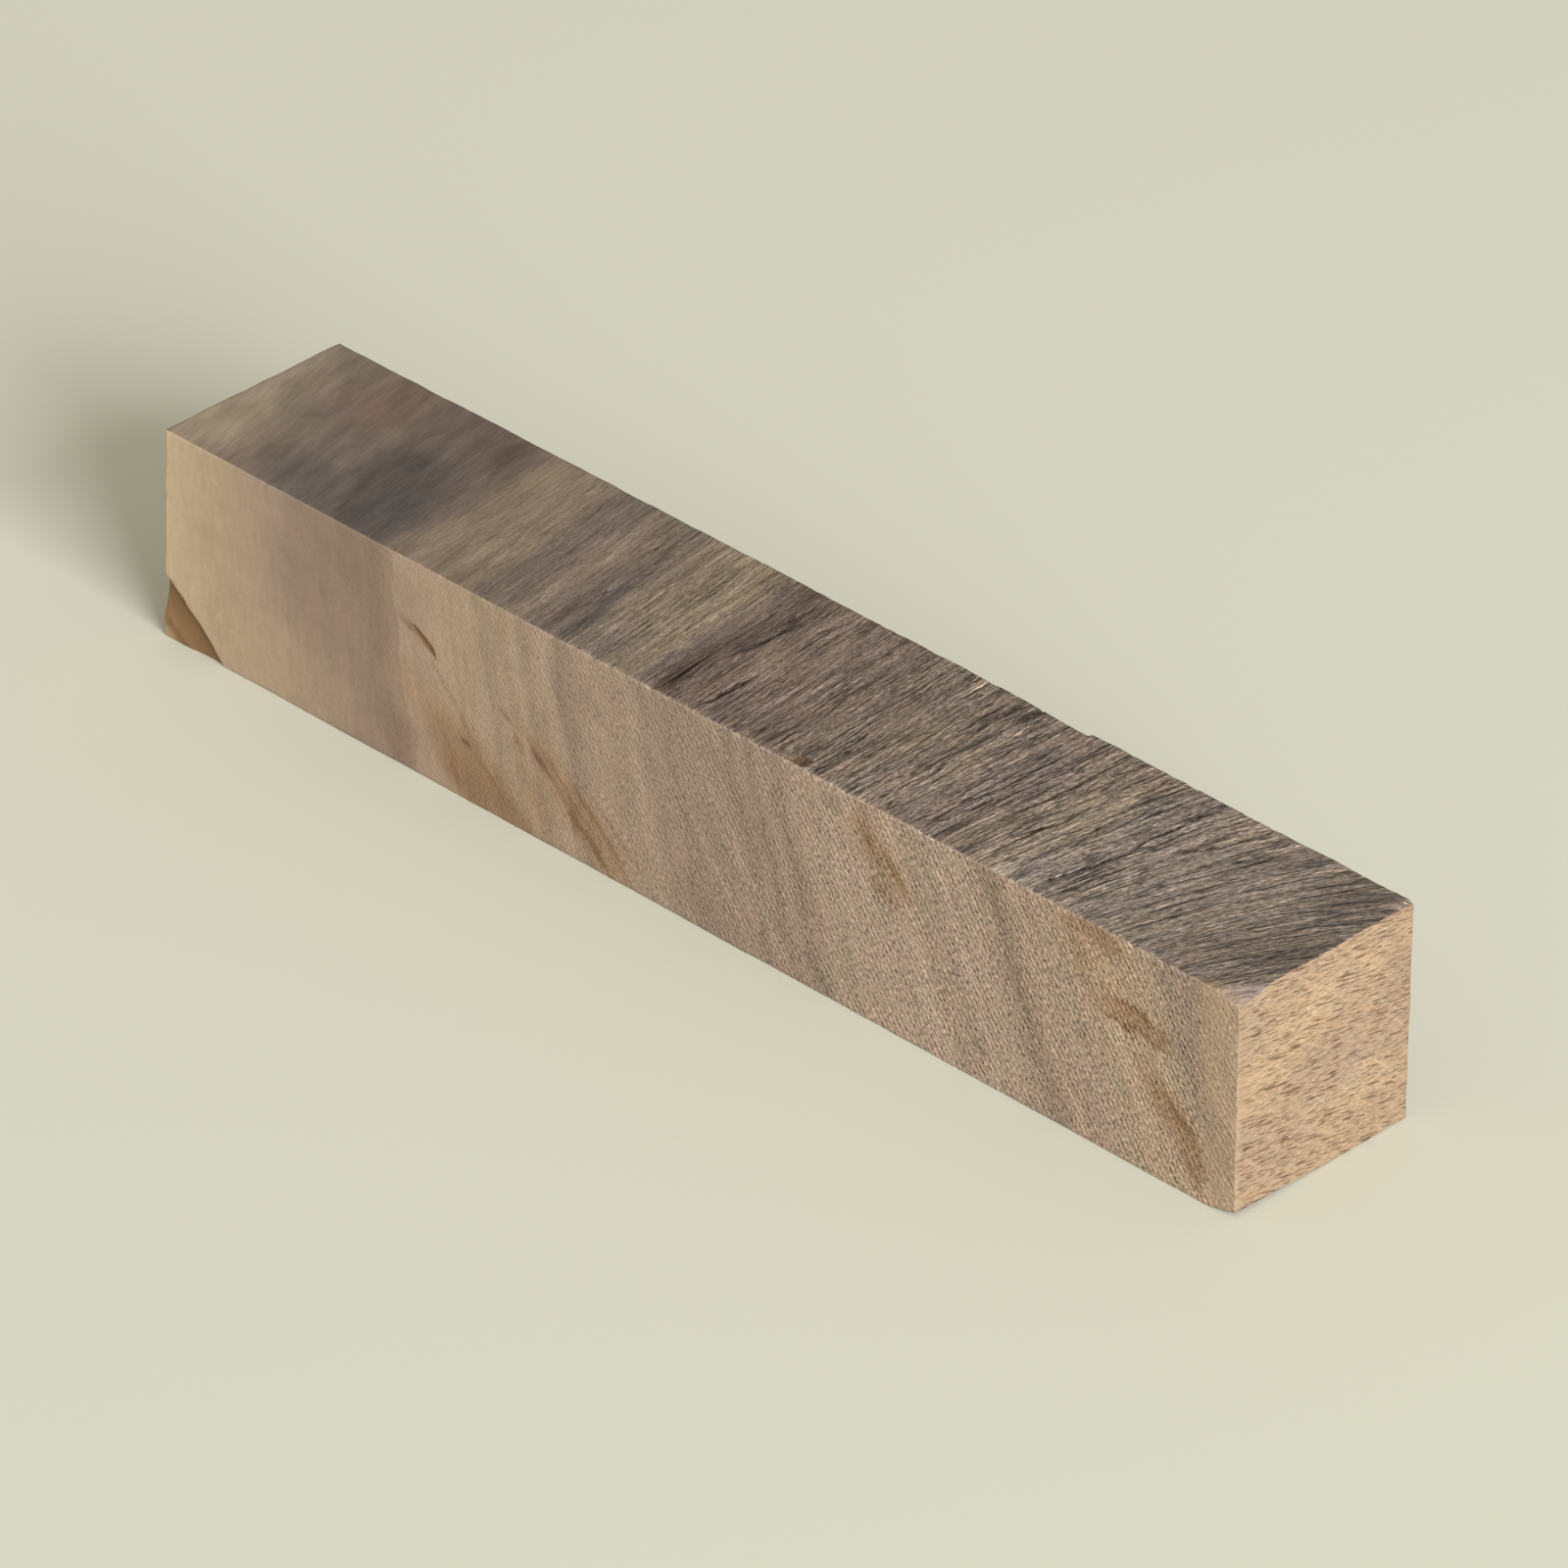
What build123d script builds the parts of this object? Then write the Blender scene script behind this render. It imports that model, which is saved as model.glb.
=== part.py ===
from build123d import *
from math import hypot
import os

# A turning blank: one short square stick of walnut, sawn on all six faces and unfinished.
# It is cut across the board, so its fibres run from the front long face to the back one.
# Millimetres. +X runs along the stick from its far end to its near end, -Y is the front
# long face and +Z is up. The origin is the middle of the underside, on which it lies.

# Overall size, over the furthest corners
length = 120.0
width = 20.0
height = 20.0

# Radius of the sawn arrises, barely eased by handling
arris_radius = 0.15

# The two ends are not sawn quite square: how far each runs along X over the width and
# over the height
far_end_run_across = -0.16
far_end_run_up = 0.51
near_end_run_across = 0.11
near_end_run_up = -0.23

# Worn strip down the front near corner: its width on the front face and its depth at
# the near end, at the underside and at the top, and the bulge of its curved face
strip_width_low = 3.0
strip_depth_low = 0.35
strip_width_high = 4.8
strip_depth_high = 0.15
strip_crown = 0.05

# Broken and worn corners of the near end: how far each facet reaches along X, Y and Z
chipped_corner_reach = (2.3, 3.9, 0.95)
rubbed_corner_reach = (0.6, 2.6, 0.40)
worn_foot_reach = (3.0, 13.0, 0.45)

# Bark pocket, open at the front face's far bottom corner: where its lip meets the
# underside and the far end, its depth under the lip, the hollow floor that comes up
# towards the corner, and how much shallower it gets for each mm down along the lip
pocket_run = 7.3
pocket_rise = 6.1
pocket_depth = 0.32
pocket_lip_lean = 0.15
pocket_floor_mid = (2.0, 0.26)
pocket_floor_end = (4.7, -0.30)
pocket_shallowing = 0.037

# Gum slit in the front face, leaning with the growth rings
gum_slit_x = -29.3
gum_slit_z = 13.0
gum_slit_length = 3.5
gum_slit_width = 0.40
gum_slit_depth = 0.90
gum_slit_lean = -34.0

# Nick in the far front arris
nick_radius = 0.55
nick_setback = 0.25
nick_z = 13.7

# Sliver split off the back top arris: it deepens along X and ends at an abrupt step
sliver_start_x = 14.0
sliver_step_x = 25.9
sliver_depth = 0.38
sliver_drop = 1.40

# Torn-out pit in the top face, just behind the front arris
pit_x = 12.3
pit_behind_front = 0.90
pit_length = 2.0
pit_width = 1.3
pit_depth = 0.40
pit_wall_lean = 25.0
pit_corner = 0.25

# Drying checks in the top face, open along the fibres: place along X, distance of the
# wide end behind the front face, length, widest opening, depth, and lean off the Y axis
drying_checks = (
    (-3.0, 0.5, 7.4, 0.40, 0.60, 6.5),
    (37.6, 1.0, 5.5, 0.30, 0.45, -17.0),
)

# Room by which a cut runs past the surface
clear = 1.0

# Derived planes and places
front = -width / 2
back = width / 2
far_end_mid_x = -length / 2 + (abs(far_end_run_across) + abs(far_end_run_up)) / 2
near_end_mid_x = length / 2 - (abs(near_end_run_across) + abs(near_end_run_up)) / 2


def far_end_x(y, z):
    """X of the far sawn end at a height and a place across the stick."""
    return far_end_mid_x + far_end_run_across * y / width + far_end_run_up * (z / height - 0.5)


def near_end_x(y, z):
    """X of the near sawn end at a height and a place across the stick."""
    return near_end_mid_x + near_end_run_across * y / width + near_end_run_up * (z / height - 0.5)


def corner_facet(y, z, reach):
    """Plane through three points at the reach from a corner of the near end, facing out."""
    reach_x, reach_y, reach_z = reach
    inward_y = -1 if y > 0 else 1
    inward_z = -1 if z > 0 else 1
    x = near_end_x(y, z)
    outward = (1 / reach_x, -inward_y / reach_y, -inward_z / reach_z)
    return Plane(origin=(x - reach_x, y, z), z_dir=outward)


far_end_plane = Plane(
    origin=(far_end_mid_x, 0, height / 2),
    z_dir=(1, -far_end_run_across / width, -far_end_run_up / height),
)
near_end_plane = Plane(
    origin=(near_end_mid_x, 0, height / 2),
    z_dir=(1, -near_end_run_across / width, -near_end_run_up / height),
)
top_plane = Plane.XY.offset(height)
front_plane = Plane(origin=(0, front, 0), x_dir=(1, 0, 0), z_dir=(0, -1, 0))

# The pocket's profile plane stands across the middle of its lip: x points down to the
# corner along the front face and y points into the wood. Its normal runs down along the
# lip and slightly out of the face, so the pocket gets shallower that way.
lip_length = hypot(pocket_run, pocket_rise)
pocket_plane = Plane(
    origin=(far_end_x(front, 0) + pocket_run / 2, front, pocket_rise / 2),
    x_dir=(-pocket_rise, 0, -pocket_run),
    z_dir=(pocket_run, -pocket_shallowing * lip_length, -pocket_rise),
)

with BuildPart() as turning_blank:
    # The sawn stick, longer than it ends up
    with BuildSketch(Plane.YZ):
        with Locations((0, height / 2)):
            Rectangle(width, height)
    extrude(amount=length / 2 + clear, both=True)

    # The two crosscuts that leave the ends slightly out of square, then all arrises eased
    split(bisect_by=far_end_plane, keep=Keep.TOP)
    split(bisect_by=near_end_plane, keep=Keep.BOTTOM)
    fillet(turning_blank.edges(), radius=arris_radius)

    # Worn strip down the front near corner: a slightly crowned face that widens upwards
    strip_end = near_end_x(front, height / 2)
    for level, strip_width, strip_depth in (
        (-clear, strip_width_low, strip_depth_low),
        (height + clear, strip_width_high, strip_depth_high),
    ):
        with BuildSketch(Plane.XY.offset(level)):
            with BuildLine():
                worn = SagittaArc(
                    (strip_end - strip_width, front),
                    (strip_end + clear, front + strip_depth * (1 + clear / strip_width)),
                    strip_crown,
                )
                Polyline(
                    worn @ 1,
                    (strip_end + clear, front - clear),
                    (strip_end - strip_width, front - clear),
                    worn @ 0,
                )
            make_face()
    loft(mode=Mode.SUBTRACT)

    # The near end's chipped, rubbed and worn corners
    for corner_y, corner_z, reach in (
        (front, height, chipped_corner_reach),
        (back, height, rubbed_corner_reach),
        (front, 0, worn_foot_reach),
    ):
        split(bisect_by=corner_facet(corner_y, corner_z, reach), keep=Keep.BOTTOM)

    # Bark pocket: steep under its lip, then a hollow floor that rises to the corner
    with BuildSketch(pocket_plane):
        with BuildLine():
            lip = Line((0, -clear), (0, 0))
            wall = Line(lip @ 1, (pocket_lip_lean, pocket_depth))
            floor = ThreePointArc(wall @ 1, pocket_floor_mid, pocket_floor_end)
            Polyline(floor @ 1, (pocket_floor_end[0], -clear), lip @ 0)
        make_face()
    extrude(amount=lip_length, both=True, mode=Mode.SUBTRACT)

    # Gum slit in the front face
    with BuildSketch(front_plane):
        with Locations(Location((gum_slit_x, gum_slit_z), gum_slit_lean)):
            SlotOverall(gum_slit_length, gum_slit_width)
    extrude(amount=-gum_slit_depth, mode=Mode.SUBTRACT)

    # Nick in the far front arris
    with Locations((far_end_x(front, nick_z) - nick_setback, front - nick_setback, nick_z)):
        Sphere(nick_radius, mode=Mode.SUBTRACT)

    # Sliver lost from the back top arris
    with BuildSketch(top_plane):
        with BuildLine():
            Polyline(
                (sliver_start_x, back),
                (sliver_step_x, back - sliver_depth),
                (sliver_step_x, back + clear),
                (sliver_start_x, back + clear),
                (sliver_start_x, back),
            )
        make_face()
    extrude(amount=-sliver_drop, mode=Mode.SUBTRACT)

    # Torn-out pit with sloping walls
    with BuildSketch(top_plane):
        with Locations((pit_x, front + pit_behind_front)):
            RectangleRounded(pit_length, pit_width, pit_corner)
    extrude(amount=-pit_depth, taper=pit_wall_lean, mode=Mode.SUBTRACT)

    # Drying checks: long kites, widest a third of the way along, narrowing downwards
    for check_x, behind_front, check_length, opening, depth, lean in drying_checks:
        with BuildSketch(top_plane):
            with BuildLine(Plane(origin=(check_x, front + behind_front, height)).rotated((0, 0, lean))):
                Polyline(
                    (0, 0),
                    (opening / 2, check_length / 3),
                    (0, check_length),
                    (-opening / 2, check_length / 3),
                    (0, 0),
                )
            make_face()
        extrude(amount=-depth, mode=Mode.SUBTRACT)

turning_blank.part.label = "turning_blank"

os.makedirs("parts", exist_ok=True)
export_step(turning_blank.part, "parts/turning_blank.step")
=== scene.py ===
import bmesh
import bpy
import math
import numpy as np
import random
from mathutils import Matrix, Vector, noise


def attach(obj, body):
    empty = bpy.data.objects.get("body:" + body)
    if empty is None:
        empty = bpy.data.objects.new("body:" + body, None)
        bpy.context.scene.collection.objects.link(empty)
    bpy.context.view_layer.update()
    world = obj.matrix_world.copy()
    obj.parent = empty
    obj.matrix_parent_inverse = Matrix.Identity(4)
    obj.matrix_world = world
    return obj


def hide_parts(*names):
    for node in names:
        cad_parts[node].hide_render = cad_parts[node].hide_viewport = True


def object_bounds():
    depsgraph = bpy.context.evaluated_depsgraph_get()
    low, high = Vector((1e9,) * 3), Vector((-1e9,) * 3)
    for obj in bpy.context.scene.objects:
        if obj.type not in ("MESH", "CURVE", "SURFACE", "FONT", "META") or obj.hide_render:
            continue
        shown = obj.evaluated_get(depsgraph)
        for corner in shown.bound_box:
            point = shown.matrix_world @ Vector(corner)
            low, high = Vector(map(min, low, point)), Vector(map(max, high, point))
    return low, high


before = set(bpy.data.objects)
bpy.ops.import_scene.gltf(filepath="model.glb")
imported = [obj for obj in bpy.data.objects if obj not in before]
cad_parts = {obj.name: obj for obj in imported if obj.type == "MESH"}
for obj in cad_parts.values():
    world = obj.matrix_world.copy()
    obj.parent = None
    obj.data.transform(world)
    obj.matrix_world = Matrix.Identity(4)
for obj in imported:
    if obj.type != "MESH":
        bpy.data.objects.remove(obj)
cad_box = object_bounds()

# Viewpoint
# A long lens looks down on the blank's near top corner from the front right, so that the
# front long face, the top and the near end all show.
camera_place_mm = (543.12, -563.52, 505.56)
camera_turn_deg = (57.554, -0.742, 44.314)
lens_mm = 266.49
sensor_mm = 36.0

camera = bpy.data.objects.new("viewpoint", bpy.data.cameras.new("viewpoint"))
bpy.context.scene.collection.objects.link(camera)
camera.location = Vector(camera_place_mm) / 1000
camera.rotation_euler = [math.radians(angle) for angle in camera_turn_deg]
camera.data.lens = lens_mm
camera.data.sensor_width = sensor_mm
bpy.context.scene.camera = camera
bpy.context.scene.view_settings.view_transform = "Standard"


# Floor and studio light
# A plain pale cream board. One soft window-like lamp stands low beyond the near end, and an
# even room light fills in, so the near end is brightest, the sawn top is raked by the light
# and the shade falls behind the far end.
floor_side_m = 6.0
lamp_side_m = 1.3
lamp_distance_m = 2.5
lamp_azimuth = math.radians(72)
lamp_elevation = math.radians(22.5)
lamp_power_w = 93.0
room_light = 0.50


def paint(hex_code):
    """Linear RGBA of an sRGB colour written as six hex digits."""
    shades = [int(hex_code[i:i + 2], 16) / 255 for i in (0, 2, 4)]
    linear = [s / 12.92 if s <= 0.04045 else ((s + 0.055) / 1.055) ** 2.4 for s in shades]
    return (*linear, 1.0)


def add(tree, kind, inputs=(), out=0, **settings):
    """Adds a shader node, sets or links its inputs, and returns one of its outputs."""
    node = tree.nodes.new("ShaderNode" + kind)
    for name, value in settings.items():
        setattr(node, name, value)
    for socket, value in inputs.items() if isinstance(inputs, dict) else enumerate(inputs):
        if isinstance(value, bpy.types.NodeSocket):
            tree.links.new(value, node.inputs[socket])
        else:
            node.inputs[socket].default_value = value
    return node.outputs[out] if node.outputs else node


def new_material(name):
    """An empty node material."""
    material = bpy.data.materials.new(name)
    material.use_nodes = True
    material.node_tree.nodes.clear()
    return material


floor_bm = bmesh.new()
bmesh.ops.create_grid(floor_bm, x_segments=1, y_segments=1, size=floor_side_m / 2)
floor_mesh = bpy.data.meshes.new("floor")
floor_bm.to_mesh(floor_mesh)
floor_bm.free()
floor = bpy.data.objects.new("floor", floor_mesh)
bpy.context.scene.collection.objects.link(floor)

# A dull pale board: no shine, no pattern
board = new_material("pale_board")
board_look = add(board.node_tree, "BsdfPrincipled", {
    "Base Color": paint("D9D8C4"), "Roughness": 0.85, "Specular IOR Level": 0.2,
})
add(board.node_tree, "OutputMaterial", {"Surface": board_look})
floor_mesh.materials.append(board)

lamp = bpy.data.objects.new("window_lamp", bpy.data.lights.new("window_lamp", "AREA"))
bpy.context.scene.collection.objects.link(lamp)
lamp_way = Vector((
    math.sin(lamp_azimuth) * math.cos(lamp_elevation),
    -math.cos(lamp_azimuth) * math.cos(lamp_elevation),
    math.sin(lamp_elevation),
))
lamp.location = lamp_way * lamp_distance_m
lamp.rotation_euler = lamp_way.to_track_quat("Z", "Y").to_euler()
lamp.data.size = lamp_side_m
lamp.data.energy = lamp_power_w
lamp.data.color = paint("F4F8FF")[:3]

room = bpy.data.worlds.new("room")
bpy.context.scene.world = room
room.use_nodes = True
room_air = room.node_tree.nodes["Background"]
room_air.inputs["Color"].default_value = paint("FFFAF1")
room_air.inputs["Strength"].default_value = room_light


# Sawn block
# The blank is one stick of walnut, crosscut from a board and sawn on all six faces. Here it
# is a finely divided block, in millimetres, whose points are moved into the sawn shape.
low_mm, high_mm = (corner * 1000 for corner in cad_box)
half_length = (high_mm.x - low_mm.x) / 2
half_width = (high_mm.y - low_mm.y) / 2
height = high_mm.z - low_mm.z

# Cells along the length, the width and the height, how much they crowd to the arrises, and
# how much more to the near end
cells = (700, 26, 32)
crowding_along, crowding_across, near_end_crowding = 0.5, 0.9, 0.12

# Depth inside the block over which a move of its surface fades out
fade_depth = 3.0

# Material numbers of the ends, of the front and back, and of the top and underside
material_numbers = (1, 0, 2)


def graded(t, crowding, lean=0.0):
    """Turns even steps from -1 to 1 into steps that shrink at both ends, and most at 1."""
    return (1 - crowding) * t + crowding * math.sin(t * math.pi / 2) + lean * (1 - t * t)


def divide_near(block, centre, reach, cuts):
    """Divides the block's surface more finely within a reach of a place."""
    low, high = [Vector(centre) + side * Vector(reach) for side in (-1, 1)]
    close = [
        edge for edge in block.edges
        if all(low[i] < v.co[i] < high[i] for v in edge.verts for i in range(3))
    ]
    bmesh.ops.subdivide_edges(
        block, edges=close, cuts=cuts, use_grid_fill=True, use_single_edge=True,
    )


block = bmesh.new()
bmesh.ops.create_cube(block, size=2.0)
for axis in range(3):
    uncut = [e for e in block.edges if abs(e.verts[0].co[axis] - e.verts[1].co[axis]) > 1.0]
    bmesh.ops.subdivide_edges(block, edges=uncut, cuts=cells[axis] - 1, use_grid_fill=True)
block.normal_update()
for side in block.faces:
    facing = max(range(3), key=lambda axis: abs(side.normal[axis]))
    side.material_index = material_numbers[facing]
for vertex in block.verts:
    t = vertex.co.copy()
    vertex.co = (
        half_length * graded(t.x, crowding_along, near_end_crowding),
        half_width * graded(t.y, crowding_across),
        height / 2 * (1 + graded(t.z, crowding_across)),
    )

# Wear and defects, each placed where the solid has it, in millimetres. The gum slit is wider and
# shallower here than in the solid; its brown tone is partly gum and partly painted shade of the
# missing depth.
arris_radius = 0.15
strip_width_low, strip_width_high = 3.0, 4.8
strip_depth_low, strip_depth_high, strip_crown = 0.35, 0.15, 0.05
pocket_run, pocket_rise = 7.3, 6.1
pocket_hollow, pocket_shallowing = (-0.077, 0.133, 0.302), 0.037
gum_slit_centre = (-29.3, 13.0)
gum_slit_length, gum_slit_width, gum_slit_depth, gum_slit_lean = 3.3, 0.70, 0.25, 34.0
gum_slit_wall_slope = 1.6
nick_radius, nick_setback, nick_z = 0.55, 0.25, 13.7
sliver_start_x, sliver_step_x, sliver_depth, sliver_drop = 14.0, 25.9, 0.38, 1.40
pit_centre = (12.3, -9.1)
pit_length, pit_width, pit_depth, pit_wall_slope = 2.0, 1.3, 0.40, 2.1

# Place along X, distance of the wide end behind the front face, length, widest opening,
# depth, and lean off the Y axis
drying_checks = (
    (-3.0, 0.5, 7.4, 0.40, 0.60, 6.5),
    (37.6, 1.0, 5.5, 0.30, 0.45, -17.0),
)

# Zones where the wear is finer than the cells: the middle, the reach, and the cuts per cell
fine_zones = [
    ((-half_length + 3.7, -half_width, 3.1), (4.2, 0.6, 3.6), 2),
    ((gum_slit_centre[0], -half_width, gum_slit_centre[1]), (2.0, 0.1, 2.2), 4),
    ((-half_length, -half_width, nick_z), (1.0, 1.0, 1.2), 2),
    ((*pit_centre, height), (1.5, 1.2, 0.1), 3),
]
for check_x, behind_front, length, opening, depth, lean in drying_checks:
    lean_run = length * math.sin(math.radians(lean)) / 2
    middle = (check_x - lean_run, -half_width + behind_front + length / 2, height)
    fine_zones.append((middle, (0.5 + abs(lean_run), length / 2 + 0.8, 0.1), 2))
for middle, zone_reach, cuts in fine_zones:
    divide_near(block, middle, zone_reach, cuts)

# Every point's place, which the wear moves, and the axis, level and way out of each face
place = np.array([vertex.co for vertex in block.verts])
outward = {
    "front": (1, -half_width, -1), "back": (1, half_width, 1),
    "top": (2, height, 1), "underside": (2, 0.0, -1),
    "far_end": (0, -half_length, -1), "near_end": (0, half_length, 1),
}


def sink(face, depth):
    """Sinks a face by a depth at each point, fading out inside the faces beside it."""
    axis, level, way = outward[face]
    nearness = np.clip(1 - np.abs(place[:, axis] - level) / fade_depth, 0, 1)
    place[:, axis] -= way * depth * nearness


def wander(size_x, size_y, size_z, seed=0):
    """Smooth noise of about -1 to 1 at each point, with swells of these sizes in mm."""
    scaled = place / (size_x, size_y, size_z) + seed * 17.3
    return np.array([noise.noise(p) for p in scaled]) * 1.6


def eased(edge_0, edge_1, value):
    """Smooth step from 0 at the first edge to 1 at the second."""
    t = np.clip((value - edge_0) / (edge_1 - edge_0), 0, 1)
    return t * t * (3 - 2 * t)


# Arrises: eased a little by the saw and by handling, and not evenly. The front ones have a pale
# line, partly fuzz where their fibres were bruised and partly a painted highlight along the arris.
radius = arris_radius * (1.0 + 0.6 * wander(2.3, 2.3, 2.3))[:, None]
box_low = np.array((-half_length, -half_width, 0.0))
box_high = np.array((half_length, half_width, height))
core = np.clip(place, box_low + radius, box_high - radius)
out = place - core
rounded = (np.abs(out) > 1e-7).sum(axis=1) > 1
beside_top_arris = np.hypot(place[:, 1] + half_width, place[:, 2] - height)
beside_near_arris = np.hypot(place[:, 0] - half_length, place[:, 1] + half_width)
# Pale line along the front arrises: partly bruised fibres, partly a painted highlight
fuzz_and_highlight = np.maximum(
    eased(0.35, 0.05, beside_top_arris) * eased(-25, 0, place[:, 0]),
    eased(0.30, 0.05, beside_near_arris) * eased(16, 12, place[:, 2]),
) * eased(-0.5, 0.3, wander(0.5, 0.5, 0.5, 9))
reach = np.linalg.norm(out, axis=1, keepdims=True).clip(1e-9)
place[rounded] = (core + out / reach * radius)[rounded]

# Splintered arrises: small bites along the top's long edges, more towards the near end
x, y, z = place.T
bite_reach = 0.7
bites = np.clip(wander(0.9, 0.9, 0.9, 1) - 0.25, 0, 1) * (0.4 + 0.6 * eased(-20, 20, x))
for level, face, bite_depth in ((-half_width, "front", 0.20), (half_width, "back", 0.05)):
    beside_arris = np.clip(1 - np.hypot(y - level, z - height) / bite_reach, 0, 1)
    sink(face, bite_depth * bites * beside_arris)
    sink("top", bite_depth * bites * beside_arris)

# Worn strip down the front near corner: slightly crowned, wider and shallower upwards
up = z / height
strip_width = strip_width_low + (strip_width_high - strip_width_low) * up
strip_depth = strip_depth_low + (strip_depth_high - strip_depth_low) * up
along_strip = np.clip((x - half_length + strip_width) / strip_width, 0, 1)
bulge = strip_crown * 4 * along_strip * (1 - along_strip)
sink("front", np.clip(strip_depth * along_strip - bulge, 0, None))
worn = eased(0.02, 0.30, along_strip + 0.08 * wander(0.8, 0.8, 1.5, 10)) * (y < -half_width + 1)

# Broken and worn corners of the near end: a facet through a reach along each edge, its
# roughness, and 1 where the break is fresh
chip = np.zeros(len(place))
for corner_y, corner_z, corner_reach, roughness, fresh in (
    (-half_width, height, (2.3, 3.9, 0.95), 0.10, 1.0),
    (half_width, height, (0.6, 2.6, 0.40), 0.05, 0.0),
    (-half_width, 0.0, (3.0, 13.0, 0.45), 0.02, 0.0),
):
    corner = np.array((half_length, corner_y, corner_z))
    facet_way = np.sign(corner - (0, 0, height / 2)) / corner_reach
    facet_way /= np.linalg.norm(facet_way)
    first_point = corner - (corner_reach[0], 0, 0)
    proud = (place - first_point) @ facet_way + roughness * wander(0.7, 0.9, 0.4, 2)
    near_corner = np.linalg.norm(place - corner, axis=1) < 1.5 * max(corner_reach)
    place -= np.where(near_corner & (proud > 0), proud, 0)[:, None] * facet_way
    chip = np.maximum(chip, near_corner * eased(-0.02, 0.10, proud) * fresh)

# Bark pocket: a steep, slightly bowed lip slanting over the front face's far bottom corner,
# and a hollow floor that comes up towards the corner and gets shallower down along the lip
x, y, z = place.T
slant = math.hypot(pocket_run, pocket_rise)
under_lip = (pocket_run * pocket_rise - pocket_rise * (x + half_length) - pocket_run * z) / slant
down_lip = (pocket_run * (x + half_length) - pocket_rise * z) / slant
down_lip -= (pocket_run ** 2 - pocket_rise ** 2) / slant / 2
lip_bow = 0.3
under_lip += lip_bow * np.clip(1 - (down_lip * 2 / slant) ** 2, 0, 1)
under_lip += 0.10 * wander(1.1, 1.1, 1.1, 3)
hollow = np.clip(np.polyval(pocket_hollow, under_lip) - pocket_shallowing * down_lip, 0, None)
lip = eased(0, 0.50, under_lip)
sink("front", lip * hollow)
# Pocket tone: strongest just under the lip, where its dark is partly bark and partly painted shade
# of the lip, and weaker towards the corner
bark_and_lip_shade = lip * (1 - 0.45 * eased(0.3, 0.9, under_lip) - 0.4 * eased(3.3, 4.5, under_lip))
bark_and_lip_shade *= y < -half_width + 2

# Gum slit in the front face
turn = math.radians(gum_slit_lean)
from_slit_x, from_slit_z = x - gum_slit_centre[0], z - gum_slit_centre[1]
along_slit = from_slit_x * math.cos(turn) - from_slit_z * math.sin(turn)
across_slit = from_slit_x * math.sin(turn) + from_slit_z * math.cos(turn)
across_slit += 0.06 * wander(0.8, 0.8, 0.8, 4)
slit_shape = 1 - (along_slit / (gum_slit_length / 2)) ** 2
slit_half = gum_slit_width / 2 * np.sqrt(np.clip(slit_shape, 1e-6, 1))
slit_wall = np.clip(gum_slit_wall_slope * (1 - np.abs(across_slit) / slit_half), 0, 1)
sink("front", np.where(slit_shape > 0, gum_slit_depth * slit_wall, 0))
slit_reach = np.hypot(along_slit / gum_slit_length, across_slit / gum_slit_width) * 2
# Brown over the slit, partly gum and partly painted shade of the deeper slit
gum_and_slit_shade = eased(1.35, 0.75, slit_reach) * (y < -half_width + 1.5)

# Nick in the far front arris, pushed out to a ball's surface
ball = np.array((-half_length - nick_setback, -half_width - nick_setback, nick_z))
from_ball = place - ball
distance = np.linalg.norm(from_ball, axis=1, keepdims=True)
place = np.where(distance < nick_radius, ball + from_ball / distance * nick_radius, place)

# Sliver split off the back top arris, deepening to an abrupt step
x, y, z = place.T
along_sliver = np.clip((x - sliver_start_x) / (sliver_step_x - sliver_start_x), 0, 1)
sink("back", sliver_depth * along_sliver * (x < sliver_step_x) * (z > height - sliver_drop))

# Torn-out pit behind the front arris, with sloping walls
from_wall = np.minimum(
    pit_length / 2 - np.abs(x - pit_centre[0]), pit_width / 2 - np.abs(y - pit_centre[1]),
) + 0.12 * wander(0.5, 0.5, 0.5, 5)
sink("top", np.clip(from_wall * pit_wall_slope, 0, pit_depth))
fresh_break = eased(-0.05, 0.15, from_wall) * (z > height - 1)

# Run of a fibre along X for each mm that it runs back, as the terms of a curve in X. It
# grows to the near end.
fibre_curve = (0.0000009, 0.00006, 0.0032, -0.11)

# Drying checks and torn pores: long kites, open along the fibres. The saw tore out many
# short fibres, most of them past the middle, each a hair wide. A torn pore has the same
# values as a drying check.
torn_pores = [
    (-15.5, 10.0, 10.0, 0.22, 0.15, 8.5), (-2.0, 5.0, 15.0, 0.22, 0.20, 1.0),
    (1.3, 0.3, 7.7, 0.28, 0.25, 1.0), (6.6, 0.3, 1.8, 0.30, 0.20, -8.0),
    (8.5, 0.3, 3.8, 0.24, 0.20, 2.0), (9.1, 0.3, 3.4, 0.22, 0.20, 0.0),
    (9.7, 0.4, 3.0, 0.22, 0.20, -3.0), (12.2, 8.0, 12.0, 0.20, 0.12, 0.0),
    (17.7, 4.0, 13.0, 0.22, 0.16, 0.0), (21.0, 1.0, 13.0, 0.24, 0.18, -2.0),
    (25.6, 1.0, 9.0, 0.24, 0.20, -1.0), (26.7, 3.0, 8.0, 0.24, 0.20, -2.0),
    (29.5, 5.0, 14.0, 0.24, 0.24, -4.0), (32.0, 2.0, 12.1, 0.24, 0.26, -7.0),
    (39.6, 11.0, 8.0, 0.26, 0.30, -6.0), (-6.0, 3.0, 8.0, 0.24, 0.18, 4.0),
    (-2.7, 12.0, 7.5, 0.24, 0.18, 1.0), (-4.6, 2.0, 5.0, 0.24, 0.16, 6.0),
    (-0.8, 1.0, 6.0, 0.24, 0.16, 3.0), (-15.9, 4.0, 6.0, 0.22, 0.12, 6.0),
]
scattered_pores = 24
pore_opening = 0.24
chance = random.Random(5)
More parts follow.
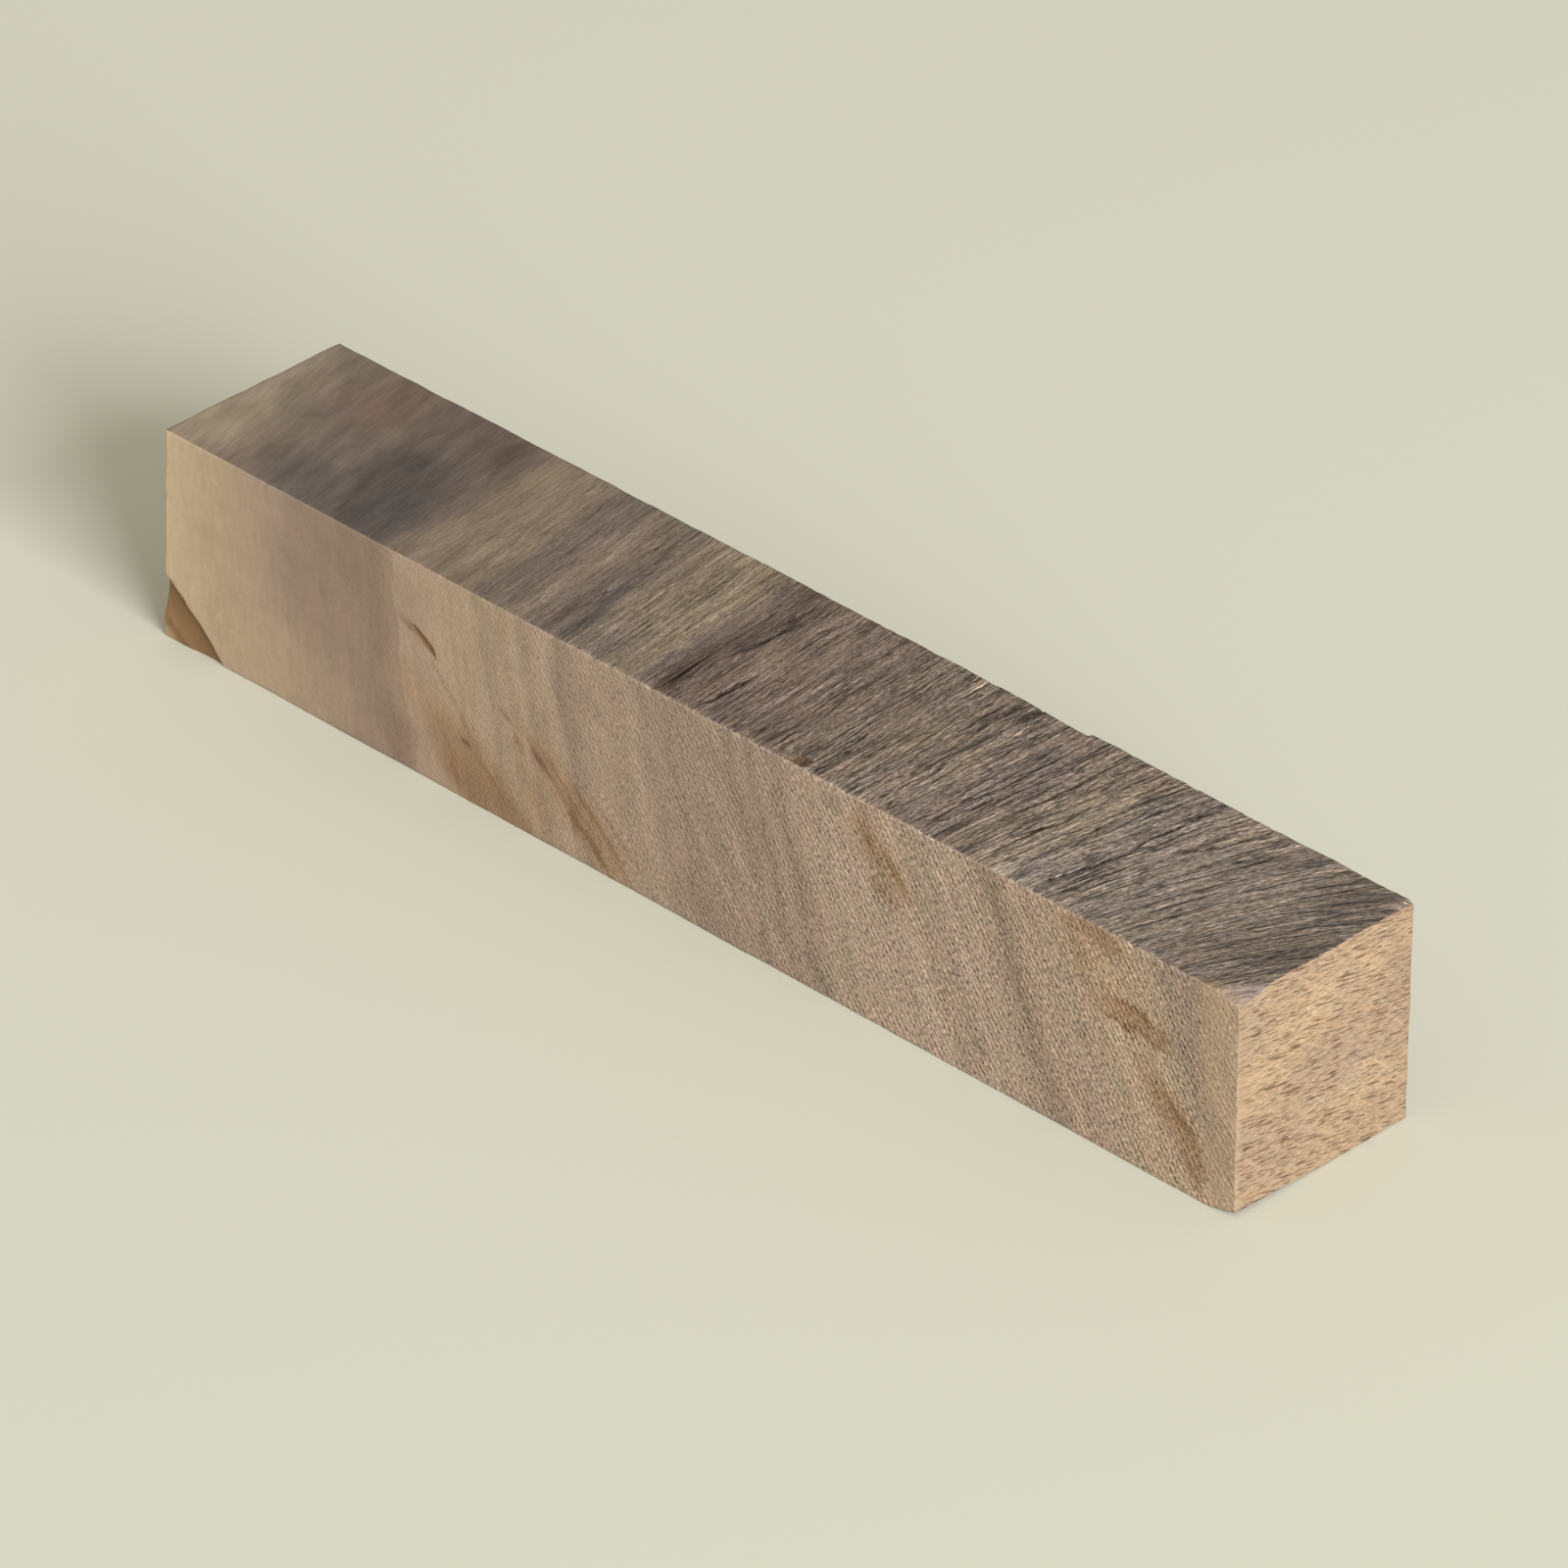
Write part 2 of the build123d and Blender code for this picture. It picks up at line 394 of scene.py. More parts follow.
for _ in range(scattered_pores):
    pore_x = chance.uniform(-20, 40)
    along_fibres = math.degrees(math.atan(-np.polyval(fibre_curve, pore_x)))
    lean = along_fibres + chance.uniform(-3, 3)
    behind_front, length = chance.uniform(0, 17), chance.uniform(1.5, 6.5)
    depth = chance.uniform(0.08, 0.2)
    torn_pores.append((pore_x, behind_front, length, pore_opening, depth, lean))

# Painted shade inside the drying checks and torn pores, darker where they are deeper
crack_shade = np.zeros(len(place))
for check_x, behind_front, length, opening, depth, lean in (*drying_checks, *torn_pores):
    turn = math.radians(lean)
    from_x, from_y = x - check_x, y + half_width - behind_front
    along_check = (from_y * math.cos(turn) - from_x * math.sin(turn)) / length
    across_check = from_x * math.cos(turn) + from_y * math.sin(turn)
    half_open = opening / 2 * np.minimum(along_check * 3, (1 - along_check) * 1.5)
    open_here = np.clip(1 - np.abs(across_check) / np.clip(half_open, 1e-6, None), 0, 1) ** 0.6
    open_here[(half_open <= 0) | (z < height - 1)] = 0
    sink("top", depth * open_here)
    crack_shade = np.maximum(crack_shade, open_here * min(1, 0.35 + depth * 1.5))

# Torn fibres: the saw lifted and tore the long fibres of the top and the underside, deepest
# in the middle and towards the near end, where it left furrows along them. The long side
# faces have the saw's low waves, and all faces are a little rough.
deep_furrow_depth, fine_furrow_depth = 0.07, 0.016
saw_wave_depth, side_roughness, end_roughness = 0.03, 0.012, 0.010
x, y, z = place.T
grain_x = x - np.polyval(fibre_curve, x) * (y + half_width)
furrow_points = np.stack([grain_x, y, z], axis=1)
torn = 0.15 + 0.85 * eased(-22, 0, x) * (1 - 0.5 * eased(2, 8, x) * (1 - eased(18, 26, x)))


def furrows(size_x, size_y, seed):
    """Noise drawn out along the fibres, about -1 to 1."""
    scaled = furrow_points / (size_x, size_y, size_y) + seed * 9.1
    return np.array([noise.noise(p) for p in scaled]) * 1.6


deep_furrows = np.clip(furrows(0.7, 14.0, 1) - 0.1, 0, 1)
fine_furrows = furrows(0.40, 8.0, 2)
for face, share in (("top", 1.0), ("underside", 0.7)):
    furrow = deep_furrow_depth * deep_furrows
    furrow += fine_furrow_depth * np.clip(1 + fine_furrows, 0, None)
    sink(face, share * torn * furrow)
for face in ("front", "back"):
    sawn = side_roughness * (1 + wander(0.6, 0.6, 0.6, 6))
    sink(face, sawn + saw_wave_depth * (1 + wander(7, 7, 7, 7)))
for face in ("near_end", "far_end"):
    sink(face, end_roughness * (1 + wander(0.6, 1.2, 0.5, 8)))

# Crosscuts not quite square: how far each end runs along X over the width and the height
far_run_across, far_run_up = -0.16, 0.51
near_run_across, near_run_up = 0.11, -0.23
x, y, z = place.T
over_width, over_height = y / (2 * half_width), z / height - 0.5
far_end_mid = -half_length + (abs(far_run_across) + abs(far_run_up)) / 2
near_end_mid = half_length - (abs(near_run_across) + abs(near_run_up)) / 2
far_end_x = far_end_mid + far_run_across * over_width + far_run_up * over_height
near_end_x = near_end_mid + near_run_across * over_width + near_run_up * over_height
along = (x + half_length) / (2 * half_length)
place[:, 0] = (1 - along) * far_end_x + along * near_end_x

for vertex, point in zip(block.verts, place):
    vertex.co = point / 1000
bmesh.ops.recalc_face_normals(block, faces=block.faces)
blank_mesh = bpy.data.meshes.new("walnut_blank")
block.to_mesh(blank_mesh)
block.free()
blank_mesh.polygons.foreach_set("use_smooth", [True] * len(blank_mesh.polygons))

# Masks that tell the materials where the wear is, and where shade and a highlight are painted
for name, amount in (
    ("crack_shade", crack_shade), ("fresh_break", fresh_break), ("chip", chip), ("bark_and_lip_shade", bark_and_lip_shade),
    ("fuzz_and_highlight", fuzz_and_highlight), ("gum_and_slit_shade", gum_and_slit_shade), ("worn", worn),
):
    blank_mesh.attributes.new(name, "FLOAT", "POINT").data.foreach_set("value", amount)
blank = bpy.data.objects.new("walnut_blank", blank_mesh)
bpy.context.scene.collection.objects.link(blank)
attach(blank, "root")
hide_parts("turning_blank")


# Sawn walnut
# Raw heartwood, dry and dull, cut so that its fibres run from the front face to the back:
# end grain with fine rays and pores on the front and back, long torn fibres on the top and
# underside, short dashes of cut pores on the ends. The patterns are in millimetres.

# Growth-ring tones, by millimetres from the far end, on the end grain and on the sawn top
cream, straw, tan, warm, sand = "CAB38F", "B8A081", "AF977C", "AA927A", "B19A84"
taupe, grey_brown, mauve, dusk = "A38D77", "9C8772", "97816D", "907D6A"
ochre, brown, dark_brown = "9F8060", "8D6E50", "6C503B"
front_rings = (
    (0, cream), (3, "C0A988"), (7, straw), (11, "AB947B"), (15.5, "9B8571"), (21, mauve),
    (27.4, mauve), (28.0, warm), (31, tan), (36, tan), (40, tan), (43.2, warm), (46, taupe),
    (49, warm), (54, taupe), (60, grey_brown), (66, grey_brown), (73, "A7917B"), (82, sand),
    (85, taupe), (87.5, sand), (92, "A6907A"), (93, "9B8772"), (94.8, warm), (98, "A8917B"),
    (103, tan), (108, tan), (112, grey_brown), (116, taupe),
)
# Ring edges: where a dense or pale layer starts sharply, the width over which it fades away
# towards the near end, its tone and its strength
ring_edges = (
    (27.1, 5.0, "AE957C", 1.0), (36.9, 2.6, "98846F", 0.6), (41.0, 2.2, "96826D", 0.6),
    (45.3, 3.4, "96826D", 0.6), (56.0, 3.0, "98836F", 0.4), (74.5, 4.0, "B29B85", 0.4),
    (88.0, 3.0, "98846E", 0.3), (92.6, 2.0, "877562", 0.4),
)
silver, fawn, umber, coffee = "968772", "857665", "72645A", "655850"
# Dark painted shade for the top's slits, and a pale lifted strand that is partly a painted
# highlight
slit_shade, lifted_strand_and_highlight = "382B24", "AD9C86"
top_rings = (
    (0, silver), (5, "8A7B69"), (8, "7B6D5E"), (11, "74665A"), (18, "6E6156"), (25.4, coffee),
    (26.8, "75675B"), (29, "80715F"), (36, "80715F"), (38, umber), (41, fawn), (43.4, umber),
    (44.6, coffee), (46, "7B6D61"), (48, fawn), (51, "887966"), (54, "897A65"), (55.5, umber),
    (58, "67584B"), (62, "7A6A5D"), (70, "77685B"), (76, "7A6D5F"), (82, "7E7062"), (86, "796B61"),
    (90.5, "837566"), (93.3, "8C7E6E"), (96.3, "82766B"), (99.3, "8B7D6F"), (103, "7F7368"),
    (108, "837669"), (115, "716559"),
)
end_rings = ((0, "A38A6E"), (1, "A38A6E"))

# Stains on each face: gum, mineral streaks and paler wood, and on the top painted shade in slits
# and a painted highlight beside them, as ellipses with soft borders.
# Each has its place on the face from its top left corner as seen, half length, half width,
# turn clockwise as seen, tone, strength and softness.
front_stains = (
    (13.0, 17.5, 8.0, 5.0, 0, "B8A081", 0.65, 0.7), (17.3, 9.0, 8.0, 0.7, 86, "937C69", 0.3, 0.8),
    (23.0, 4.0, 4.6, 3.4, 0, "8C7764", 0.4, 0.8), (30.4, 6.9, 1.9, 0.42, 30, "77583F", 0.65, 0.7),
    (30.8, 13.5, 4.5, 1.8, 50, "A98B6D", 0.5, 0.8), (37.0, 17.0, 7.0, 3.0, 38, ochre, 0.8, 0.4),
    (35.6, 18.0, 3.6, 1.6, 40, brown, 0.6, 0.6), (34.4, 17.2, 2.0, 0.3, 72, "86674A", 0.7, 0.6),
    (38.8, 16.6, 3.0, 0.25, 42, "8A6A4B", 0.6, 0.6), (41.0, 18.8, 6.0, 1.2, 30, brown, 0.6, 0.7),
    (35.6, 12.8, 6.0, 0.24, 50, "8F7354", 0.45, 0.8),
    (35.8, 14.4, 0.7, 0.25, 25, dark_brown, 0.8, 0.6),
    (40.2, 10.0, 0.8, 0.3, 28, brown, 0.7, 0.7), (42.0, 12.0, 0.8, 0.35, 40, brown, 0.8, 0.6),
    (43.8, 16.0, 4.0, 1.3, 60, ochre, 0.5, 0.8), (48.6, 15.4, 6.8, 1.9, 43, ochre, 0.75, 0.6),
    (46.0, 13.6, 3.6, 0.36, 43, brown, 0.8, 0.8), (50.4, 17.8, 2.8, 0.36, 42, "7B5D43", 0.8, 0.8),
    (44.3, 12.2, 1.1, 0.35, 43, dark_brown, 0.6, 0.8),
    (47.2, 13.7, 3.4, 0.24, 43, brown, 0.8, 0.6), (50.8, 15.6, 4.8, 0.28, 46, brown, 0.8, 0.6),
    (52.6, 15.5, 3.2, 0.26, 45, brown, 0.55, 0.7), (48.3, 16.2, 1.3, 0.4, 80, dark_brown, 0.6, 0.7),
    (50.0, 5.0, 1.8, 1.3, 40, grey_brown, 0.6, 0.7), (46.2, 4.0, 2.2, 0.6, 70, dusk, 0.5, 0.7),
    (57.5, 2.0, 3.5, 1.3, 30, grey_brown, 0.6, 0.8), (62.4, 17.8, 2.6, 1.2, 40, dusk, 0.6, 0.7),
    (28.6, 17.8, 2.6, 1.5, 80, "8E7663", 0.8, 0.8),
    (67.4, 12.0, 9.6, 0.22, 55, "BBA58D", 0.45, 0.9),
    (64.5, 14.0, 7.0, 0.22, 51, "BBA58D", 0.4, 0.9),
    (68.0, 8.0, 4.0, 1.6, 60, dusk, 0.5, 0.8), (72.5, 11.0, 3.4, 2.0, 60, grey_brown, 0.5, 0.8),
    (74.0, 17.5, 3.2, 0.9, 30, dusk, 0.6, 0.7), (76.5, 1.4, 1.0, 0.8, 30, "7F7064", 0.6, 0.8),
    (82.0, 4.5, 4.4, 1.8, 50, "98795A", 0.65, 0.9), (80.6, 3.0, 2.4, 0.4, 50, brown, 0.8, 0.7),
    (84.0, 5.4, 2.2, 0.45, 50, "80603F", 0.65, 0.8), (82.3, 7.4, 1.4, 0.5, 20, brown, 0.6, 0.7),
    (93.5, 2.0, 2.4, 0.7, 60, "86735F", 0.5, 0.8), (97.0, 9.0, 4.5, 0.4, 66, "86735F", 0.6, 0.8),
    (103.0, 3.2, 1.3, 0.6, 50, "7B6D58", 0.6, 0.8), (105.0, 1.1, 3.4, 1.0, 6, "94755A", 0.9, 0.6),
    (105.2, 4.4, 4.2, 1.8, 34, "A88B6A", 0.5, 0.8), (109.3, 6.9, 3.8, 1.3, 8, "98795A", 0.85, 0.5),
    (109.4, 7.9, 3.2, 0.22, 4, "76563C", 0.9, 0.5), (109.6, 6.1, 3.0, 0.22, 9, "7B5B40", 0.85, 0.5),
    (113.2, 13.2, 3.2, 1.4, 40, "987856", 0.8, 0.6),
    (114.4, 13.4, 1.8, 0.4, 42, "775740", 0.8, 0.6),
    (115.8, 16.4, 2.4, 1.1, 66, "8F7050", 0.75, 0.6),
    (114.4, 2.5, 3.2, 0.5, 72, "887868", 0.6, 0.7),
    (118.6, 5.0, 9.5, 2.2, 82, "B29A7F", 0.75, 0.3),
)
top_stains = (
    (3.0, 15.0, 5.0, 3.0, 90, "9D8D76", 0.6, 0.7), (11.5, 3.5, 3.6, 4.0, 60, "725D4E", 0.75, 0.7),
    (20.5, 13.2, 6.4, 4.2, 80, "544C47", 0.9, 0.35),
    (14.6, 17.5, 5.0, 3.0, 30, "5E564F", 0.75, 0.5),
    (23.5, 16.5, 4.5, 2.6, 80, "58504B", 0.85, 0.35), (18.5, 2.5, 6.0, 3.0, 0, "665A50", 0.6, 0.8),
    (25.6, 6.0, 8.0, 1.4, 84, "6A5C52", 0.75, 0.5), (23.8, 2.8, 4.4, 0.9, 88, "54473D", 0.8, 0.7),
    (27.8, 2.5, 3.0, 0.9, 80, "8D7C67", 0.7, 0.7),
    (31.0, 3.0, 4.0, 1.2, 84, "877866", 0.6, 0.8), (33.4, 13.0, 5.0, 1.6, 84, "8B7B68", 0.6, 0.8),
    (35.4, 3.6, 4.4, 1.5, 86, umber, 0.6, 0.8), (37.3, 7.5, 8.5, 1.8, 86, umber, 0.75, 0.7),
    (39.3, 16.0, 3.4, 0.5, 80, "625751", 0.6, 0.7), (41.2, 6.5, 5.5, 1.7, 86, "8D7D6A", 0.6, 0.8),
    (43.5, 5.0, 5.5, 0.4, 84, "56493F", 0.7, 0.7), (45.3, 14.0, 5.4, 0.8, 82, "4D4643", 0.8, 0.6),
    (43.5, 17.0, 1.1, 0.5, 80, "5E4A3B", 0.8, 0.6), (49.5, 17.5, 3.4, 2.4, 90, "786B62", 0.7, 0.7),
    (52.4, 5.0, 6.0, 1.3, 88, "948470", 0.7, 0.6), (47.0, 5.0, 3.6, 1.0, 86, "867664", 0.6, 0.8),
    (57.0, 16.0, 4.6, 0.7, 84, "4A382B", 0.7, 0.7), (57.3, 7.0, 7.0, 1.2, 88, "5C5049", 0.6, 0.8),
    (65.5, 17.0, 2.8, 4.5, 90, "6A5C54", 0.45, 0.8), (72.4, 16.0, 4.0, 2.4, 90, "8A7B6C", 0.5, 0.8),
    (82.0, 15.5, 3.6, 6.0, 90, "8E7F70", 0.4, 0.8),
    (77.3, 10.0, 8.0, 0.4, 92, "97866F", 0.6, 0.8), (79.0, 2.0, 2.4, 2.4, 0, "6E6056", 0.6, 0.8),
    (81.6, 12.0, 7.0, 0.7, 95, "908070", 0.6, 0.8),
    (94.0, 2.0, 2.6, 4.0, 90, "6C5F55", 0.55, 0.8), (98.6, 16.0, 3.0, 0.4, 97, "453D3B", 0.6, 0.7),
    (108.0, 2.5, 3.0, 2.2, 90, "6F6257", 0.45, 0.8),
    (116.4, 2.4, 3.4, 3.0, 100, "62564C", 0.65, 0.8),
    (115.0, 12.0, 3.0, 2.0, 100, "6B5E53", 0.35, 0.8),
    (116.6, 17.6, 2.6, 1.6, 0, "968779", 0.5, 0.7),
    # Slits in the top, drawn as thin lines of painted shade
    (58.0, 7.5, 7.5, 0.10, 90, slit_shade, 0.8, 0.6), (61.3, 16.0, 4.0, 0.12, 89, slit_shade, 0.9, 0.6),
    (68.6, 18.0, 2.0, 0.12, 90, slit_shade, 0.9, 0.6), (69.3, 18.2, 1.8, 0.12, 88, slit_shade, 0.9, 0.6),
    (77.9, 10.0, 5.0, 0.10, 91, slit_shade, 0.7, 0.6), (80.3, 11.0, 3.5, 0.10, 92, slit_shade, 0.8, 0.6),
    (81.2, 14.0, 5.0, 0.10, 92, slit_shade, 0.7, 0.6), (86.0, 14.0, 5.0, 0.12, 93, slit_shade, 0.8, 0.6),
    (90.0, 8.0, 7.0, 0.13, 94, slit_shade, 0.9, 0.6), (92.9, 12.0, 6.0, 0.13, 97, slit_shade, 0.9, 0.6),
    (95.8, 11.0, 7.0, 1.6, 96, "8C7E6E", 0.45, 0.8),
    (104.4, 11.0, 4.4, 2.2, 96, "887B6E", 0.45, 0.8),
    # A pale lifted strand beside the slits, partly a painted highlight, and one more slit of
    # painted shade
    (94.0, 9.0, 7.0, 0.12, 96, lifted_strand_and_highlight, 0.7, 0.7), (99.6, 8.0, 7.5, 0.16, 97, slit_shade, 0.9, 0.6),
)
end_stains = (
    (5.0, 7.0, 7.0, 2.2, -32, "B39874", 0.5, 0.8), (14.0, 3.2, 6.5, 1.6, -14, "AE9376", 0.6, 0.8),
    (12.0, 11.0, 4.6, 2.6, 0, "99826C", 0.6, 0.9), (18.5, 7.5, 5.0, 1.6, 90, "998169", 0.6, 0.9),
    (3.0, 15.0, 4.0, 1.6, 8, "99816B", 0.5, 0.9), (14.5, 14.5, 4.0, 1.6, 0, "AD9475", 0.6, 0.9),
)

# Texture layers on each face. Clouds are soft mottling. Specks are fine grain and, on the ends, cut
# pores and rays. Rows are the lines in which the end grain lies, and pores are its cut pores.
# Dashes are torn or lifted fibres, dense in some places and few in others, and hairs are long
# single lines, along a noise's middle value; on the top, the dark ones are partly painted shade in
# torn slits and the pale ones partly painted highlights. Each layer has its sizes in mm, its turn
# clockwise as seen, the values between which it changes, the shades there, and its relief in mm.
# Pores are 0.1 to 0.2 mm wide. The fibres, about 0.02 mm thick, are too fine to show, so the finest
# specks are drawn 0.15 mm wide.
front_layers = (
    ("clouds", (4.0, 9.0, 3.0), 30, (0.30, 0.70), ((0.93, 0.925, 0.96), (1.05, 1.04, 1.085)), 0.0),
    ("clouds", (1.8, 6.0, 0.7), 70, (0.30, 0.70), (0.96, 1.03), 0.0),
    ("specks", (4.0, 6.0, 1.2), 60, (0.35, 0.65), ((1.03, 0.98, 1.01), (0.96, 1.0, 0.975)), 0.0),
    ("rows", (5.0, 6.0, 0.50), 52, (0.1, 0.9), (0.79, 1.15), 0.03),
    ("specks", (0.38, 2.0, 0.15), 52, (0.34, 0.66), (0.48, 1.58), 0.03),
    ("pores", (0.40, 3.0, 0.28), 52, (0.14, 0.50), (0.26, 1.20), 0.05),
    ("dashes", (7.0, 8.0, 0.22), 52, (0.58, 0.66), (1.0, 0.70), -0.02),
    ("dashes", (9.0, 8.0, 0.20), 53, (0.60, 0.68), (1.0, 1.30), 0.02),
)
top_layers = (
    ("clouds", (1.5, 5.5, 1.5), 4, (0.30, 0.70), ((0.85, 0.83, 0.80), (1.22, 1.20, 1.18)), 0.03),
    ("specks", (1.2, 7.0, 1.5), 0, (0.35, 0.65), ((0.98, 0.98, 1.02), (1.04, 1.0, 0.94)), 0.0),
    ("clouds", (0.80, 4.0, 1.0), 0, (0.30, 0.70), (0.92, 1.08), 0.02),
    ("specks", (0.26, 9.0, 1.0), 0, (0.32, 0.68), (0.89, 1.16), 0.03),
    ("specks", (0.16, 0.5, 0.4), 0, (0.34, 0.66), (0.58, 1.60), 0.04),
    # The dark dashes and hairs are partly painted shade in torn slits, and the pale ones partly
    # painted highlights on the lit edges of lifted fibres
    ("dashes", (0.22, 12.0, 1.5), 0, (0.60, 0.63), (1.0, 0.28), -0.12),
    ("dashes", (0.20, 2.4, 0.5), -2, (0.61, 0.65), (1.0, 0.36), -0.08),
    ("dashes", (0.22, 8.0, 1.2), 0, (0.62, 0.66), (1.0, 1.62), 0.06),
    ("dashes", (0.18, 1.6, 0.4), 2, (0.61, 0.67), (1.0, 1.60), 0.05),
    ("hairs", (0.7, 14.0, 1.5), 0, (0.0, 0.040), (0.30, 1.0), 0.08),
    ("hairs", (0.5, 9.0, 1.2), 2, (0.0, 0.045), (0.34, 1.0), 0.06),
    ("hairs", (0.6, 10.0, 1.3), -1, (0.0, 0.045), (1.60, 1.0), -0.05),
)
end_layers = (
    ("clouds", (3.0, 2.4, 0.8), 0, (0.30, 0.70), ((0.90, 0.87, 0.86), (1.01, 0.99, 1.0)), 0.0),
    ("specks", (1.0, 3.0, 1.0), 30, (0.35, 0.65), ((1.02, 0.99, 0.97), (0.97, 1.0, 1.02)), 0.0),
    ("specks", (1.0, 0.60, 0.15), 0, (0.32, 0.68), (0.81, 1.19), 0.02),
    ("specks", (1.0, 12.0, 0.45), 40, (0.54, 0.68), (1.0, 1.13), 0.0),
    ("specks", (1.0, 1.4, 0.13), -4, (0.57, 0.64), (1.0, (0.62, 0.54, 0.50)), -0.03),
    ("specks", (1.0, 2.3, 0.17), 4, (0.61, 0.66), (1.0, (0.48, 0.40, 0.37)), -0.06),
)

# Under the pocket's lip, where the dark tone is partly bark and partly painted shade of the lip,
# and out to the corner
pocket_tones = ((0.15, "B0936F"), (0.55, "81613F"), (0.95, "73563E"))

# Marks, each by its mask: a tone, its strength, and where on the mask it starts and how sharply.
# Breaks are grey or brown, cracks dark with painted shade, and the front arrises pale, partly
# bruised fibres and partly a painted highlight.
marks = (
    ("chip", "9C8A80", 0.85, 0.0, 1.0), ("fresh_break", "735A42", 0.8, 0.0, 1.0),
    ("crack_shade", "3F2E23", 0.92, 0.22, 0.42), ("fuzz_and_highlight", "C9B498", 0.35, 0.0, 1.0),
    ("gum_and_slit_shade", "7E5F43", 0.9, 0.1, 0.6), ("worn", "A48A6D", 0.5, 0.0, 1.0),
)

# Stains run out in streaks: along the rays on the end grain, along the fibres elsewhere.
# Each streak pattern has its sizes in mm, its turn, and how far it pushes along X, Y and Z.
smears = {
    "front": ((6.0, 3.0, 0.30), 52, (3.2, 0.0, -4.1)),
    "top": ((0.40, 7.0, 1.0), 0, (0.0, 7.0, 0.0)),
    "end": ((1.0, 3.0, 0.30), 0, (0.0, 3.0, 0.0)),
}
stain_drift_mm = 2.2

# How far fibres weave aside, how much they rise for each mm that they run back, the rings'
# lean for each mm along X and at the middle, their drift, and the width of a ring's edge
weave_mm = 0.25
fibre_rise = 0.12
ring_lean = (0.0042, 0.25)
ring_drift_mm = 2.5
ring_edge_width = 0.3
bump_unit_m = 0.001

# A colour Mix node's sockets by number, and its settings
how_much, under, over, mixed = 0, 6, 7, 2
laid_over = {"data_type": "RGBA"}
multiplied = {"data_type": "RGBA", "blend_type": "MULTIPLY"}
smooth = {"interpolation_type": "SMOOTHSTEP"}


def on_face(face, along, down):
    """The place of a point that is measured from a face's top left corner, as seen."""
    return {
        "front": (along - half_length, -half_width, height - down),
        "top": (along - half_length, half_width - down, height),
        "end": (half_length, along - half_width, height - down),
    }[face]


def clockwise(face, degrees):
    """A turn in a face's own plane, clockwise as seen."""
    turn = math.radians(degrees)
    return {"front": (0.0, turn, 0.0), "top": (0.0, 0.0, -turn), "end": (-turn, 0.0, 0.0)}[face]


def stain_size(face, half_long, half_wide):
    """Half sizes of a stain. A thin one stays near its face, a broad one runs on inwards."""
    inwards = 5.0 if half_wide < 1 or face == "end" else 40.0
    return {
        "front": (half_long, inwards, half_wide),
        "top": (half_long, half_wide, inwards),
        "end": (inwards, half_long, half_wide),
    }[face]


def wood_places(tree, face):
    """The places that the patterns read: in mm, along the fibres and across the rings."""
    metres = add(tree, "TexCoord", out="Object")
    mm = add(tree, "VectorMath", {0: metres, "Scale": 1000.0}, operation="SCALE")
    wood_x = add(tree, "SeparateXYZ", [mm], out="X")
    wood_y, wood_z = wood_x.node.outputs["Y"], wood_x.node.outputs["Z"]

    # The fibres lean along X as the furrows do, but the ends show them nearly flat. On the
    # top they also weave by a fraction of a millimetre.
    inward = add(tree, "Math", [wood_y, half_width], operation="ADD")
    fibre_x = wood_x
    if face != "end":
        slope = fibre_curve[0]
        for term in fibre_curve[1:]:
            slope = add(tree, "Math", [wood_x, slope, term], operation="MULTIPLY_ADD")
        run = add(tree, "Math", [slope, inward], operation="MULTIPLY")
        fibre_x = add(tree, "Math", [wood_x, run], operation="SUBTRACT")
    if face == "top":
        weave = add(tree, "TexNoise", {"Vector": mm, "Scale": 0.4, "Detail": 1.0})
        weave = add(tree, "Math", [weave, 0.5], operation="SUBTRACT")
        fibre_x = add(tree, "Math", [weave, weave_mm, fibre_x], operation="MULTIPLY_ADD")
    fibre_z = add(tree, "Math", [inward, fibre_rise, wood_z], operation="MULTIPLY_ADD")
    grain = add(tree, "CombineXYZ", [fibre_x, inward, fibre_z])

    # Growth rings cross the front face leaning to the near end as they go down, more so
    # towards the near end. An uneven drift keeps their edges from being ruled.
    drift = add(tree, "TexNoise", {"Vector": grain, "Scale": 0.16, "Detail": 3.0}, out="Color")
    drift = add(tree, "VectorMath", [drift, (0.5, 0.5, 0.5)], operation="SUBTRACT")
    lean_of_rings = add(tree, "Math", [wood_x, *ring_lean], operation="MULTIPLY_ADD")
    below_top = add(tree, "Math", [height, wood_z], operation="SUBTRACT")
    ring_run = add(tree, "Math", [lean_of_rings, below_top], operation="MULTIPLY")
    ring = add(tree, "Math", [fibre_x, ring_run], operation="SUBTRACT")
    drift_x = add(tree, "SeparateXYZ", [drift], out="X")
    ring = add(tree, "Math", [drift_x, ring_drift_mm, ring], operation="MULTIPLY_ADD")
    ring = add(tree, "Math", [ring, half_length], operation="ADD")
    return {"mm": mm, "x": wood_x, "grain": grain, "drift": drift, "ring": ring}


